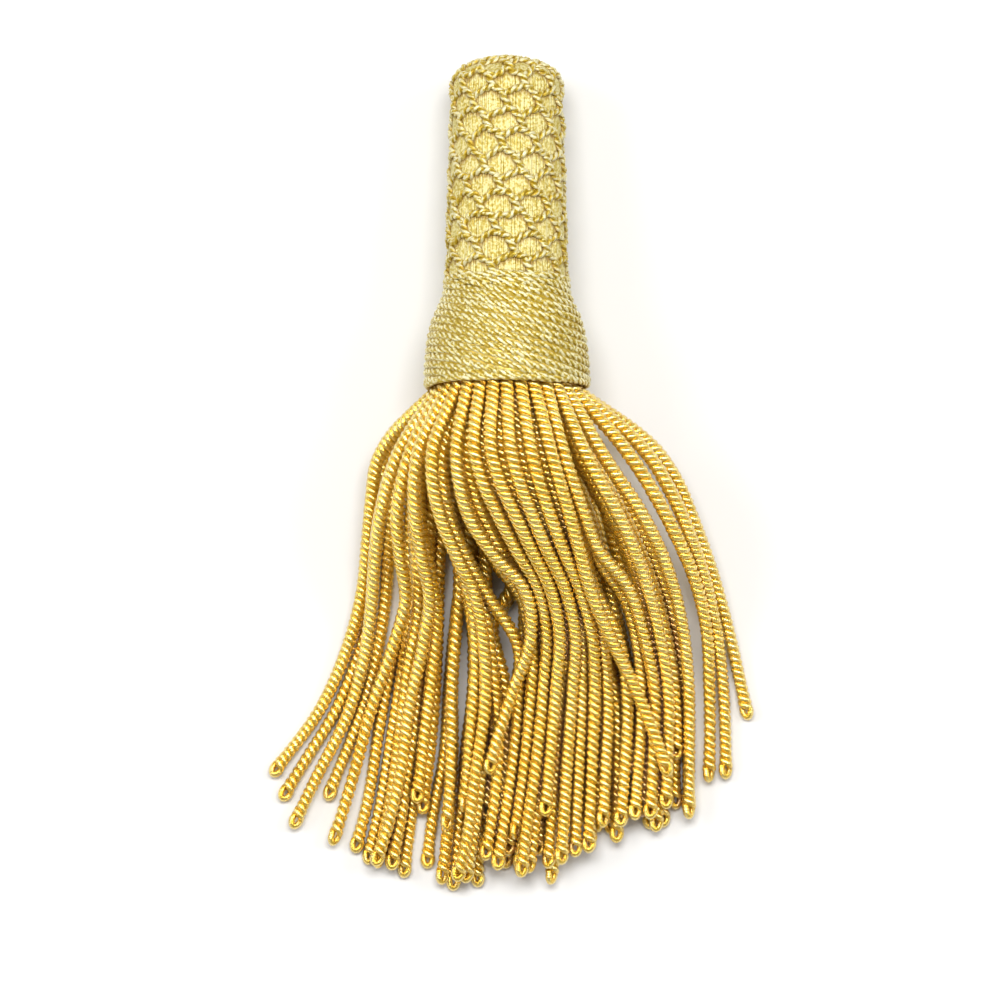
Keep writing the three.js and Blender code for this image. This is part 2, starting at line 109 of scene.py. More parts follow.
def smooth_between(points: np.ndarray, step: float, fineness: int = 4) -> np.ndarray:
    """Draws a smooth line through points that may lie unevenly apart.

    Args:
        points: The points that the line passes through.
        step: The distance between the points of the result.
        fineness: How many times closer the line is worked out than it is drawn.

    Returns:
        Evenly spaced points on the line.
    """
    at = running_length(points)
    slopes = np.gradient(points, at, axis=0)
    fine = np.linspace(0.0, at[-1], int(at[-1] / (step / fineness)))
    low = np.clip(np.searchsorted(at, fine, side="right") - 1, 0, len(at) - 2)
    span = (at[low + 1] - at[low])[:, None]
    part = (fine - at[low])[:, None] / span
    curved = (
        points[low] * (1 + 2 * part) * (1 - part) ** 2
        + slopes[low] * span * part * (1 - part) ** 2
        + points[low + 1] * part**2 * (3 - 2 * part)
        + slopes[low + 1] * span * part**2 * (part - 1)
    )
    over = running_length(curved)
    even = np.linspace(0.0, over[-1], int(round(over[-1] / step)) + 1)
    return np.stack([np.interp(even, over, curved[:, k]) for k in range(3)], axis=1)


def carried_normals(points: np.ndarray) -> np.ndarray:
    """Carries one normal along a line without turning it round the line.

    Args:
        points: The points of the line.

    Returns:
        A normal for each point.
    """
    tangents = unit(np.gradient(points, axis=0))
    normals = np.zeros_like(points)
    normal = np.array([0.0, 0.0, 1.0])
    for k, tangent in enumerate(tangents):
        normal = unit(normal - tangent * float(normal @ tangent))
        normals[k] = normal
    return normals


def ring_angles(radius: float, step: float) -> np.ndarray:
    """Returns the angles, in degrees, of points that lie about a step apart round a ring."""
    count = int(round(TURN * radius / step))
    return np.arange(count) * 360.0 / count


def uneven(angle: np.ndarray, size: float, waves: Sequence[int], random: Generator) -> np.ndarray:
    """Returns an offset at each angle round a ring, in degrees: a sum of waves that close on themselves."""
    turn = np.radians(angle)
    return sum(size * random.normal() * np.sin(wave * turn + random.uniform(0, TURN)) for wave in waves)


def angles_round(away: np.ndarray, out: np.ndarray, side: np.ndarray) -> np.ndarray:
    """Returns the angle of each vertex of a tube's rings round its middle, from out towards side."""
    return np.arctan2(np.einsum("nak,nk->na", away, side), np.einsum("nak,nk->na", away, out))


def unshaded(rings: np.ndarray) -> np.ndarray:
    """Returns full openness to the light for each vertex of a tube's rings."""
    return np.ones(rings.shape[:2])


@dataclass(frozen=True)
class Line:
    """A line through space, with a normal at each of its points."""

    points: np.ndarray
    normals: np.ndarray
    closed: bool = False

    def tangents(self) -> np.ndarray:
        """Finds the direction of the line.

        Returns:
            A vector of length one for each point.
        """
        if self.closed:
            return unit(np.roll(self.points, -1, axis=0) - np.roll(self.points, 1, axis=0))
        return unit(np.gradient(self.points, axis=0))

    def distances(self) -> np.ndarray:
        """Returns the distance of each point from the first, along the line."""
        return running_length(self.points)

    def length(self) -> float:
        """Returns the length of the line, with its closing step if it has one."""
        closing = np.linalg.norm(self.points[0] - self.points[-1]) if self.closed else 0.0
        return float(self.distances()[-1] + closing)

    def section(self) -> tuple[np.ndarray, np.ndarray]:
        """Finds the plane of the section at each point.

        Returns:
            The direction out, on the side of the normal, and the direction across it.
        """
        tangents = self.tangents()
        out = unit(self.normals - tangents * np.sum(self.normals * tangents, axis=1, keepdims=True))
        return out, np.cross(tangents, out)

    def painted_groove_openness(self, rings: np.ndarray) -> np.ndarray:
        """Returns how far each vertex of a ply's rings faces out with the line's normals, from 0 to 1, which
        as openness paints shade on the sides that face in towards the surface under the cord.
        """
        away = unit(rings - self.points[:, None])
        return 0.5 + 0.5 * np.einsum("nak,nk->na", away, self.normals)


@dataclass(frozen=True)
class Twist:
    """How the plies of a cord go round each other."""

    ply_radius: float
    lay_radius: float
    pitch: float
    steps_per_turn: int
    plies: int = 2
    hand: Hand = Hand.S
    oval: float = 1.0

    def step(self) -> float:
        """Returns the distance between the points of a line that this twist follows."""
        return self.pitch / self.steps_per_turn

    def ply(self, line: Line, turn: float, spread: float | np.ndarray = 1.0) -> Line:
        """Winds one ply round a line.

        Args:
            line: The middle of the cord.
            turn: The angle at which the ply starts.
            spread: The share of the lay radius, at each point or all along.

        Returns:
            The middle of the ply, a point for each of the line's, whose normals face out of the cord.
        """
        length = line.length()
        turns = round(length / self.pitch) if line.closed else length / self.pitch
        angle = turn + self.hand.value * TURN * turns * line.distances() / length
        side = np.cross(line.tangents(), line.normals)
        away = line.normals * np.cos(angle)[:, None] + side * np.sin(angle)[:, None]
        radius = np.broadcast_to(self.lay_radius * spread, len(away))
        return Line(line.points + away * radius[:, None], away, line.closed)


@dataclass(frozen=True)
class Tube:
    """One round tube along a line, whose normals face out of the tube's cord.

    Its width is the share of the radius at each point, and its openness gives, for its rings of
    vertices, how open each vertex lies to the light, from 0 to 1.
    """

    line: Line
    tone: float = MIDDLE_TONE
    width: float | np.ndarray = 1.0
    openness: Callable[[np.ndarray], np.ndarray] = unshaded


@dataclass
class Tubes:
    """Tubes that become one mesh, each of them as much wider across its cord as the oval says."""

    radius: float
    oval: float = 1.0
    sides: int = 6
    tubes: list[Tube] = field(default_factory=list)

    @classmethod
    def of(cls, cord: Twist) -> "Tubes":
        """Returns an empty set of tubes for the plies of a cord."""
        return cls(cord.ply_radius, cord.oval)

    def lay(self, cord: Twist, line: Line, random: Generator) -> None:
        """Adds the plies of a cord.

        Args:
            cord: How the plies go round each other.
            line: The middle of the cord.
            random: The source of its first angle and tone.
        """
        turn = float(random.uniform(0, TURN))
        tone = float(random.random())
        for ply in range(cord.plies):
            # The openness of these plies paints shade on their sides that face in towards the surface under
            # the cord.
            self.add(Tube(cord.ply(line, turn + ply * TURN / cord.plies), tone, openness=line.painted_groove_openness))

    def add(self, tube: Tube) -> None:
        """Adds a tube, kept above the surface that the tassel lies on."""
        points = np.maximum(tube.line.points, (-np.inf, -np.inf, self.radius))
        self.tubes.append(replace(tube, line=replace(tube.line, points=points)))

    def shape(self, name: str) -> Mesh:
        """Draws the tubes, open at their ends.

        Args:
            name: The name of the mesh.

        Returns:
            The mesh, whose vertices lie ring after ring.
        """
        curve = bpy.data.curves.new(name + "_line", "CURVE")
        curve.dimensions = "3D"
        curve.twist_mode = "MINIMUM"
        curve.bevel_depth = self.radius * MM
        curve.bevel_resolution = (self.sides - 4) // 2
        for tube in self.tubes:
            count = len(tube.line.points)
            spline = curve.splines.new("POLY")
            spline.points.add(count - 1)
            spline.points.foreach_set("co", np.hstack([tube.line.points * MM, np.ones((count, 1))]).ravel())
            spline.points.foreach_set("radius", np.broadcast_to(tube.width, count).astype(np.float32))
            spline.use_cyclic_u = tube.line.closed
        holder = in_scene(name + "_line", curve)
        seen = holder.evaluated_get(bpy.context.evaluated_depsgraph_get())
        mesh = bpy.data.meshes.new_from_object(seen)
        bpy.data.objects.remove(holder)
        bpy.data.curves.remove(curve)
        mesh.name = name
        return mesh

    def mesh(self, name: str) -> Object:
        """Makes the tubes one closed piece.

        Args:
            name: The name of the piece.

        Returns:
            The piece, with its tone and openness as attributes and a map that follows its tubes.
        """
        mesh = self.shape(name)
        rings = self.rings(mesh)
        self.widen(mesh, rings)
        pairs = list(zip(self.tubes, rings))
        mark(mesh, TONE, [np.full(ring.shape[:2], tube.tone) for tube, ring in pairs])
        mark(mesh, PAINTED_SHADE_OPEN, [tube.openness(ring) for tube, ring in pairs])
        self.lay_map(mesh, rings)
        form = bmesh.new()
        form.from_mesh(mesh)
        bmesh.ops.holes_fill(form, edges=form.edges, sides=0)
        form.to_mesh(mesh)
        form.free()
        mesh.shade_smooth()
        return in_scene(name, mesh)

    def rings(self, mesh: Mesh) -> list[np.ndarray]:
        """Reads the vertices of each tube.

        Args:
            mesh: The mesh, whose vertices lie ring after ring.

        Returns:
            For each tube, its points by vertices round it by coordinates, in millimetres.
        """
        places = np.empty(len(mesh.vertices) * 3, dtype=np.float32)
        mesh.vertices.foreach_get("co", places)
        counts = [len(tube.line.points) for tube in self.tubes]
        return np.split(places.reshape(sum(counts), -1, 3) / MM, np.cumsum(counts)[:-1])

    def widen(self, mesh: Mesh, rings: list[np.ndarray]) -> None:
        """Makes the tubes oval, wider across their cord than through it.

        Args:
            mesh: The mesh, whose vertices lie ring after ring.
            rings: The vertices of each tube, which move as well.
        """
        for tube, ring in zip(self.tubes, rings):
            _, side = tube.line.section()
            reach = np.einsum("nak,nk->na", ring - tube.line.points[:, None], side)
            ring += side[:, None] * reach[:, :, None] * (self.oval - 1)
        places = np.concatenate([ring.ravel() for ring in rings]) * MM
        mesh.vertices.foreach_set("co", places.astype(np.float32))

    def lay_map(self, mesh: Mesh, rings: list[np.ndarray]) -> None:
        """Gives a mesh a map that follows its tubes: millimetres along each, and turns round it.

        The middle of the way round, 0.5, is the side that faces out of the cord.

        Args:
            mesh: The mesh, whose vertices lie ring after ring.
            rings: The vertices of each tube.
        """
        starts, ends, turns = [], [], []
        for tube, ring in zip(self.tubes, rings):
            over = tube.line.distances()
            starts.append(over)
            ends.append(np.append(over[1:], tube.line.length()) if tube.line.closed else over)
            turn = angles_round(ring - tube.line.points[:, None], *tube.line.section())
            turns.append(0.5 + turn / TURN)
        corners = np.empty(len(mesh.loops), dtype=np.int64)
        mesh.loops.foreach_get("vertex_index", corners)
        corners = corners.reshape(-1, 4)
        row = corners // rings[0].shape[1]
        first, last = row.min(axis=1), row.max(axis=1)
        along = np.concatenate(starts)[row]
        closing = last > first + 1
        joined = np.concatenate(ends)[last[closing]][:, None]
        along[closing] = np.where(row[closing] == first[closing, None], joined, along[closing])
        turn = np.concatenate([turn.ravel() for turn in turns])[corners]
        turn[turn < turn.max(axis=1, keepdims=True) - 0.5] += 1.0
        layer = mesh.uv_layers.new(name=PLY_MAP)
        layer.uv.foreach_set("vector", np.stack([along, turn], axis=2).astype(np.float32).ravel())


def welded(mesh: Mesh) -> bmesh.types.BMesh:
    """Joins the corners that the faces of a mesh of the frame share.

    Args:
        mesh: The mesh.

    Returns:
        The joined form of it.
    """
    form = bmesh.new()
    form.from_mesh(mesh)
    bmesh.ops.remove_doubles(form, verts=form.verts, dist=SAME_PLACE)
    return form


def mark(mesh: Mesh, label: str, values: Sequence[np.ndarray]) -> None:
    """Gives each vertex of a mesh a value, in an attribute with this label."""
    layer = mesh.attributes.new(label, "FLOAT", "POINT")
    layer.data.foreach_set("value", np.concatenate([part.ravel() for part in values]).astype(np.float32))


def in_scene(name: str, data: bpy.types.ID) -> Object:
    """Puts a new object into the scene.

    Args:
        name: The name of the object.
        data: The mesh, curve, light or camera that it shows.

    Returns:
        The object.
    """
    thing = bpy.data.objects.new(name, data)
    bpy.context.scene.collection.objects.link(thing)
    return thing


def dress(piece: Object, material: Material, node: str) -> None:
    """Gives a piece its material and its place in the frame.

    Args:
        piece: The piece.
        material: Its finish.
        node: The solid that it stands for.
    """
    piece.data.materials.append(material)
    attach(piece, BODY)
    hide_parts(node)
    LOG.info("%s: %d faces", piece.name, len(piece.data.polygons))


# Finishes


def new_group(name: str, inputs: dict[str, float], outputs: Sequence[str]) -> NodeTree:
    """Starts a shader node group.

    Args:
        name: The name of the group.
        inputs: Each number that it takes, with its usual value.
        outputs: The values that it gives.

    Returns:
        The group, with its input and output nodes named "in" and "out".
    """
    group = bpy.data.node_groups.new(name, "ShaderNodeTree")
    for label, value in inputs.items():
        socket = group.interface.new_socket(label, in_out="INPUT", socket_type="NodeSocketFloat")
        socket.default_value = value
    for label in outputs:
        group.interface.new_socket(label, in_out="OUTPUT", socket_type="NodeSocketFloat")
    group.nodes.new("NodeGroupInput").name = "in"
    group.nodes.new("NodeGroupOutput").name = "out"
    return group


def add_node(tree: NodeTree, kind: str, **values: object) -> Node:
    """Adds a node to a tree.

    Args:
        tree: The tree.
        kind: The type of the node.
        values: Properties of the node.

    Returns:
        The node.
    """
    node = tree.nodes.new(kind)
    for label, value in values.items():
        setattr(node, label, value)
    return node


def set_inputs(node: Node, values: dict[str, object]) -> None:
    """Sets sockets of a node to constants."""
    for label, value in values.items():
        node.inputs[label].default_value = value


def feed(tree: NodeTree, socket: Socket, value: object) -> None:
    """Links a socket of a node to another one, or sets it to a number.

    Args:
        tree: The tree.
        socket: The socket that takes the value.
        value: A socket or a number.
    """
    if isinstance(value, Socket):
        tree.links.new(value, socket)
    else:
        socket.default_value = value


def math_node(tree: NodeTree, operation: str, first: object, second: object = 0.0) -> Socket:
    """Adds a Math node.

    Args:
        tree: The tree.
        operation: What the node works out.
        first: A socket or a number.
        second: A socket or a number.

    Returns:
        The socket with the result.
    """
    node = add_node(tree, "ShaderNodeMath", operation=operation)
    for socket, value in zip(node.inputs, (first, second)):
        feed(tree, socket, value)
    return node.outputs[0]


def noise_node(tree: NodeTree, place: Socket, scale: object, detail: float) -> Socket:
    """Adds a Noise Texture node.

    Args:
        tree: The tree.
        place: The socket with the place that the noise is read at.
        scale: How fine the noise is, a socket or a number.
        detail: How many finer layers it has.

    Returns:
        The socket with the noise, from 0 to 1.
    """
    node = add_node(tree, "ShaderNodeTexNoise", noise_dimensions="3D")
    node.inputs["Detail"].default_value = detail
    tree.links.new(place, node.inputs["Vector"])
    feed(tree, node.inputs["Scale"], scale)
    return node.outputs["Fac"]


def read_mark(tree: NodeTree, label: str) -> Socket:
    """Returns the socket with the value that the vertices of a mesh have in an attribute."""
    return add_node(tree, "ShaderNodeAttribute", attribute_name=label).outputs["Fac"]


def ply_place(tree: NodeTree) -> tuple[Socket, Socket]:
    """Reads the map that follows the plies.

    Args:
        tree: The tree that reads it.

    Returns:
        The millimetres along the ply, and the turns round it.
    """
    place = add_node(tree, "ShaderNodeUVMap", uv_map=PLY_MAP)
    parts = add_node(tree, "ShaderNodeSeparateXYZ")
    tree.links.new(place.outputs["UV"], parts.inputs[0])
    return parts.outputs["X"], parts.outputs["Y"]


def coil_group() -> NodeTree:
    """Builds the relief of the fine wire that a ply is coiled from.

    Returns:
        The group: it reads how far along the ply a point lies, and gives a height.
    """
    group = new_group("coiled wire", {"Pitch": 0.2, "Unevenness": 0.4, "Scale": 900.0}, ["Height"])
    given = group.nodes["in"].outputs
    along, _ = ply_place(group)
    place = add_node(group, "ShaderNodeTexCoord").outputs["Object"]
    wander = noise_node(group, place, given["Scale"], detail=1.0)
    shift = math_node(group, "MULTIPLY", wander, given["Unevenness"])
    turns = math_node(group, "ADD", math_node(group, "DIVIDE", along, given["Pitch"]), shift)
    wave = math_node(group, "SINE", math_node(group, "MULTIPLY", turns, TURN))
    group.links.new(wave, group.nodes["out"].inputs["Height"])
    return group


def painted_crest_light_group() -> NodeTree:
    """Builds the mask of the plies' crests, which paints a highlight where they stand proud of their cord.

    Returns:
        The group: it gives 1 on the crest of a ply, painted light, and 0 where it faces into its cord,
            painted shade.
    """
    group = new_group("ply crest painted light", {"Narrowness": 2.0}, ["Crest"])
    _, around = ply_place(group)
    wave = math_node(group, "COSINE", math_node(group, "MULTIPLY", around, TURN))
    height = math_node(group, "SUBTRACT", 0.5, math_node(group, "MULTIPLY", wave, 0.5))
    narrowness = group.nodes["in"].outputs["Narrowness"]
    crest = math_node(group, "POWER", math_node(group, "MAXIMUM", height, 0.0), narrowness)
    group.links.new(crest, group.nodes["out"].inputs["Crest"])
    return group


def fibre_group() -> NodeTree:
    """Builds the fine fibres of thread, which run along each ply, and its uneven tones.

    Returns:
        The group: it gives fibres, slow patches and fine speckles, each from 0 to 1.
    """
    group = new_group(
        "thread fibres",
        {"Streaks": 0.5, "Fibres": 7.0, "Patches": 160.0, "Speckles": 2400.0, "Tube Spread": 57.0},
        ["Fibre", "Patch", "Speckle"],
    )
    given = group.nodes["in"].outputs
    values = (*ply_place(group), read_mark(group, TONE))
    both = add_node(group, "ShaderNodeCombineXYZ")
    for value, scale, socket in zip(values, ("Streaks", "Fibres", "Tube Spread"), both.inputs):
        group.links.new(math_node(group, "MULTIPLY", value, given[scale]), socket)
    place = add_node(group, "ShaderNodeTexCoord").outputs["Object"]
    noises = (
        noise_node(group, both.outputs[0], 1.0, detail=3.0),
        noise_node(group, place, given["Patches"], detail=2.0),
        noise_node(group, place, given["Speckles"], detail=1.0),
    )
    for noise, socket in zip(noises, group.nodes["out"].inputs):
        group.links.new(noise, socket)
    return group


def use_group(tree: NodeTree, group: NodeTree, **values: float) -> Node:
    """Places a node group in a material.

    Args:
        tree: The material's tree.
        group: The group.
        values: The numbers that it takes.

    Returns:
        The group's node.
    """
    node = add_node(tree, "ShaderNodeGroup", node_tree=group)
    set_inputs(node, values)
    return node


def weighed(tree: NodeTree, terms: Sequence[tuple[Socket, float]], middle: float) -> Socket:
    """Adds up values that each lie about the middle tone, by weight.

    Args:
        tree: The tree.
        terms: Each value with its weight.
        middle: What the sum is where every value is the middle tone.

    Returns:
        The socket with the sum.
    """
    total: object = middle - MIDDLE_TONE * sum(weight for _, weight in terms)
    for value, weight in terms:
        total = math_node(tree, "ADD", math_node(tree, "MULTIPLY", value, weight), total)
    return total


def ramp(tree: NodeTree, value: Socket, stops: Sequence[tuple[float, tuple[float, ...]]]) -> Socket:
    """Turns a value into a colour.

    Args:
        tree: The tree.
        value: The value, from 0 to 1.
        stops: Places from 0 to 1 and the colour at each.

    Returns:
        The socket with the colour.
    """
    node = add_node(tree, "ShaderNodeValToRGB")
    tree.links.new(value, node.inputs["Fac"])
    elements = node.color_ramp.elements
    while len(elements) < len(stops):
        elements.new(1.0)
    for element, (place, colour) in zip(elements, stops):
        element.position = place
        element.color = (*colour, 1.0)
    return node.outputs["Color"]


def new_material(name: str, values: dict[str, object]) -> Material:
    """Starts a material.

    Args:
        name: Its name.
        values: The constants of its shader's sockets.

    Returns:
        The material.
    """
    material = bpy.data.materials.new(name)
    material.use_nodes = True
    set_inputs(material.node_tree.nodes[SHADER], values)
    return material


Colour = tuple[float, float, float]
BLACK: Colour = (0.0, 0.0, 0.0)
WHITE: Colour = (1.0, 1.0, 1.0)


class Relief(Enum):
    """What stands proud on a ply: the turns of its coiled wire, or its fibres."""

    COIL = "coil"
    FIBRES = "fibres"


@dataclass(frozen=True)
class Groups:
    """The node groups that the finishes share."""

    coil: NodeTree
    crest: NodeTree
    fibres: NodeTree


@dataclass(frozen=True)
class MetalThread:
    """A metallised thread or wire, with a painted highlight on the crests of its plies and painted shade
    between them.

    Its tone adds up the painted crest light of the ply, fibres, patches, speckles and the tube's own tone,
    each by its weight, and the stops are the tones of the deep, body and bright colours. Where a place is
    less open to the light than shut, it has the colour of the shadow, which is painted shade. The coat is a
    clear gloss.
    """

    name: str
    shadow: Colour
    deep: Colour
    body: Colour
    bright: Colour
    metallic: float
    roughness: float
    relief: Relief
    relief_height: float
    narrowness: float = 1.5
    roughness_spread: float = 0.1
    streaks: float = 0.5
    fibres: float = 7.0
    speckles: float = 2400.0
    fibre_weight: float = 0.6
    patch_weight: float = 0.6
    speckle_weight: float = 0.8
    tone_weight: float = 0.15
    crest_light_weight: float = 0.8
    stops: tuple[float, float, float] = (0.1, 0.5, 0.9)
    shut: float = 0.25
    clear: float = 0.8
    coat: float = 0.0
    coat_ior: float = 1.7
    coat_roughness: float = 0.15

    def material(self, groups: Groups) -> Material:
        """Builds the material.

        Args:
            groups: The groups that the finishes share.

        Returns:
            The material.
        """
        constants = {
            "Metallic": self.metallic,
            "Coat Weight": self.coat,
            "Coat IOR": self.coat_ior,
            "Coat Roughness": self.coat_roughness,
        }
        material = new_material(self.name, constants)
        tree = material.node_tree
        link = tree.links.new
        shader = tree.nodes[SHADER]
        threads = use_group(
            tree, groups.fibres, Streaks=self.streaks, Fibres=self.fibres, Speckles=self.speckles
        )
        # The crest mask paints a highlight on the crests of the plies and shade where they face into their
        # cord.
        crest = use_group(tree, groups.crest, Narrowness=self.narrowness)
        terms = [
            (crest.outputs["Crest"], self.crest_light_weight),
            (threads.outputs["Fibre"], self.fibre_weight),
            (threads.outputs["Patch"], self.patch_weight),
            (threads.outputs["Speckle"], self.speckle_weight),
            (read_mark(tree, TONE), self.tone_weight),
        ]
        stops = list(zip(self.stops, (self.deep, self.body, self.bright)))
        colour = ramp(tree, weighed(tree, terms, MIDDLE_TONE), stops)
        # Painted shade: where the openness attribute falls from clear to shut, the colour goes over to the
        # shadow colour.
        lit = ramp(tree, read_mark(tree, PAINTED_SHADE_OPEN), [(self.shut, BLACK), (self.clear, WHITE)])
        mixed = add_node(tree, "ShaderNodeMix", data_type="RGBA")
        link(lit, mixed.inputs["Factor"])
        set_inputs(mixed, {"A": (*self.shadow, 1.0)})
        link(colour, mixed.inputs["B"])
        link(mixed.outputs["Result"], shader.inputs["Base Color"])
        rough = weighed(tree, [(threads.outputs["Patch"], self.roughness_spread)], self.roughness)
        link(rough, shader.inputs["Roughness"])
        bump = add_node(tree, "ShaderNodeBump")
        set_inputs(bump, {"Strength": 1.0, "Distance": self.relief_height * MM})
        if self.relief is Relief.COIL:
            wire = use_group(tree, groups.coil)
            link(wire.outputs["Height"], bump.inputs["Height"])
        else:
            link(threads.outputs["Fibre"], bump.inputs["Height"])
        link(bump.outputs["Normal"], shader.inputs["Normal"])
        return material


@dataclass(frozen=True)
class Paper:
    """The pale matt surface that the tassel lies on."""

    colour: Colour = (0.76, 0.76, 0.76)
    roughness: float = 0.9
    specular: float = 0.2

    def material(self) -> Material:
        """Builds the material.

        Returns:
            The material.
        """
        constants = {
            "Base Color": (*self.colour, 1.0),
            "Roughness": self.roughness,
            "Specular IOR Level": self.specular,
        }
        return new_material("pale floor", constants)


# The head


@dataclass
class Head:
    """The frame of the head, and the outline of its shank and bell.

    Places on it are given by the distance along its axis from its far end, by the radius, and by the
    angle round it from the top, with +X at a quarter turn.
    """

    stem: Object
    spigot_end: float = 42.0
    dome_radius: float = 8.8
    dome_depth: float = 4.6
    neck_radius: float = 9.6
    neck_along: float = 36.4
    tail: float = 2.4
    bell: tuple[tuple[float, float], ...] = (
        (36.7, 9.9),
        (38.9, 10.7),
        (41.2, 11.75),
        (44.5, 12.6),
        (48.3, 12.95),
        (51.5, 13.0),
    )
    outline_points: int = 60
    bell_points: int = 80
    bell_softness: int = 4

    def __post_init__(self) -> None:
        """Finds the axis from the two poles of the turned shank."""
        form = welded(self.stem.data)
        poles = sorted(form.verts, key=lambda vertex: len(vertex.link_edges))[-2:]
        far, near = sorted((np.array(pole.co) / MM for pole in poles), key=lambda place: -place[1])
        form.free()
        self.axis = unit(near - far)
        self.side = np.array([1.0, 0.0, 0.0])
        self.up = np.cross(self.axis, self.side)
        self.origin = near - self.axis * self.spigot_end
        turn = np.linspace(0.0, math.pi / 2, self.outline_points)
        dome = np.stack([self.dome_depth * (1 - np.cos(turn)), self.dome_radius * np.sin(turn)], axis=1)
        along = np.linspace(self.dome_depth, self.neck_along + self.tail, self.outline_points)[1:]
        radius = np.interp(along, (self.dome_depth, self.neck_along), (self.dome_radius, self.neck_radius))
        self.outline = np.vstack([dome, np.stack([along, radius], axis=1)])
        self.over = running_length(self.outline)
        slope = unit(np.gradient(self.outline, self.over, axis=0))
        self.outward = np.stack([-slope[:, 1], slope[:, 0]], axis=1)

    def place(self, along: np.ndarray, radius: np.ndarray, angle: np.ndarray) -> np.ndarray:
        """Finds points on the head.

        Args:
            along: Distances along the axis.
            radius: Distances from the axis.
            angle: Angles round it, in degrees.

        Returns:
            The points.
        """
        turn = np.radians(angle)
        outward = self.side * np.sin(turn)[:, None] + self.up * np.cos(turn)[:, None]
        return self.origin + self.axis * along[:, None] + outward * radius[:, None]

    def on_shank(
        self, over: np.ndarray, angle: np.ndarray, height: np.ndarray, closed: bool = False
    ) -> Line:
        """Draws a line over the shank's outline.

        Args:
            over: Distances over the outline from the middle of its end.
            angle: Angles round the axis, in degrees.
            height: Heights above the outline.
            closed: Whether the line closes on itself.

        Returns:
            The line, whose normals face out of the shank.
        """
        along, radius = (np.interp(over, self.over, self.outline[:, k]) for k in range(2))
        tilt, rise = (np.interp(over, self.over, self.outward[:, k]) for k in range(2))
        points = self.place(along + tilt * height, radius + rise * height, angle)
        lifted = self.place(along + tilt * (height + 1), radius + rise * (height + 1), angle)
        return Line(points, unit(lifted - points), closed)

    def bell_radius(self, along: np.ndarray) -> np.ndarray:
        """Finds how wide the bell is over its winding.

        Args:
            along: Distances along the axis.

        Returns:
            The radius at each.
        """
        table = np.array(self.bell)
        fine = np.linspace(table[0, 0], table[-1, 0], self.bell_points)
        rough = np.interp(fine, table[:, 0], table[:, 1])
        width = 2 * self.bell_softness + 1
        padded = np.pad(rough, self.bell_softness, mode="edge")
        return np.interp(along, fine, np.convolve(padded, np.ones(width) / width, mode="valid"))

    def body(self, name: str, points: np.ndarray, steps: int = 64, openness: float = 1.0) -> Object:
        """Turns a profile round the axis into a closed body.

        Args:
            name: The name of the piece.
            points: The profile, beside the axis, from one flat end to the other.
            steps: The number of steps round the axis.
            openness: How open it lies to the light, from 0 to 1.

        Returns:
            The piece.
        """
        axis = Vector(self.axis)
        start = Vector(self.origin * MM)
        profile = [Vector(point * MM) for point in points]
        ends = [start + axis * (point - start).dot(axis) for point in (profile[0], profile[-1])]
        form = bmesh.new()
        corners = [form.verts.new(point) for point in (ends[0], *profile, ends[1])]
        edges = [form.edges.new(pair) for pair in zip(corners, corners[1:])]
        geometry = corners + edges
        bmesh.ops.spin(form, geom=geometry, cent=start, axis=axis, angle=TURN, steps=steps, use_merge=True)
        bmesh.ops.remove_doubles(form, verts=form.verts, dist=SAME_PLACE)
        bmesh.ops.recalc_face_normals(form, faces=form.faces)
        mesh = bpy.data.meshes.new(name)
        form.to_mesh(mesh)
        form.free()
        mesh.shade_smooth()
        mark(mesh, TONE, [np.full(len(mesh.vertices), MIDDLE_TONE)])
        mark(mesh, PAINTED_SHADE_OPEN, [np.full(len(mesh.vertices), openness)])
        return in_scene(name, mesh)


@dataclass
class Shank:
    """The satin thread that wraps the shank lengthwise, over a plain core.

    The threads start by turns at the distances of first_over and widen over the taper. Their middles lie
    at the depth under the outline, each a little higher or lower, and so is each of its points.
    """

    head: Head
    random: Generator
    threads: int = 200
    thread_radius: float = 0.24
    depth: float = 0.7
    first_over: tuple[float, ...] = (1.2, 4.8, 1.2, 3.4)
    last_over: float = 44.6
    step: float = 0.8
    wander: float = 0.15
    point_lift: float = 0.025
    thread_lift: float = 0.02
    taper: float = 8.0
    thinnest: float = 0.35
    core_rise: float = 0.3
    core_points: int = 26

    def build(self, satin: Material, shade: Callable[[np.ndarray], np.ndarray]) -> None:
        """Makes the core and the threads.

        Args:
            satin: The finish of both.
            shade: Gives the openness of rings of vertices beside the net.
        """
        inner = self.depth - self.thread_radius * self.core_rise
        over = np.linspace(0.0, self.last_over, self.core_points)
        profile = self.head.on_shank(over, np.zeros_like(over), np.full_like(over, -inner)).points[1:]
        dress(self.head.body("shank_core", profile), satin, "stem")

        tubes = Tubes(self.thread_radius)
        for k in range(self.threads):
            over = np.arange(self.first_over[k % len(self.first_over)], self.last_over, self.step)
            sway = np.cumsum(self.random.normal(0.0, self.wander, len(over)))
            angle = 360.0 * k / self.threads + sway - sway.mean()
            lift = self.random.normal(0.0, self.point_lift, len(over))
            lift += self.random.normal(0.0, self.thread_lift)
            line = self.head.on_shank(over, angle, lift - self.depth)
            girth = np.interp(over, (0.0, self.taper), (self.thinnest, 1.0))
            tubes.add(Tube(line, float(self.random.random()), girth, shade))
        dress(tubes.mesh("shank_thread"), satin, "stem")


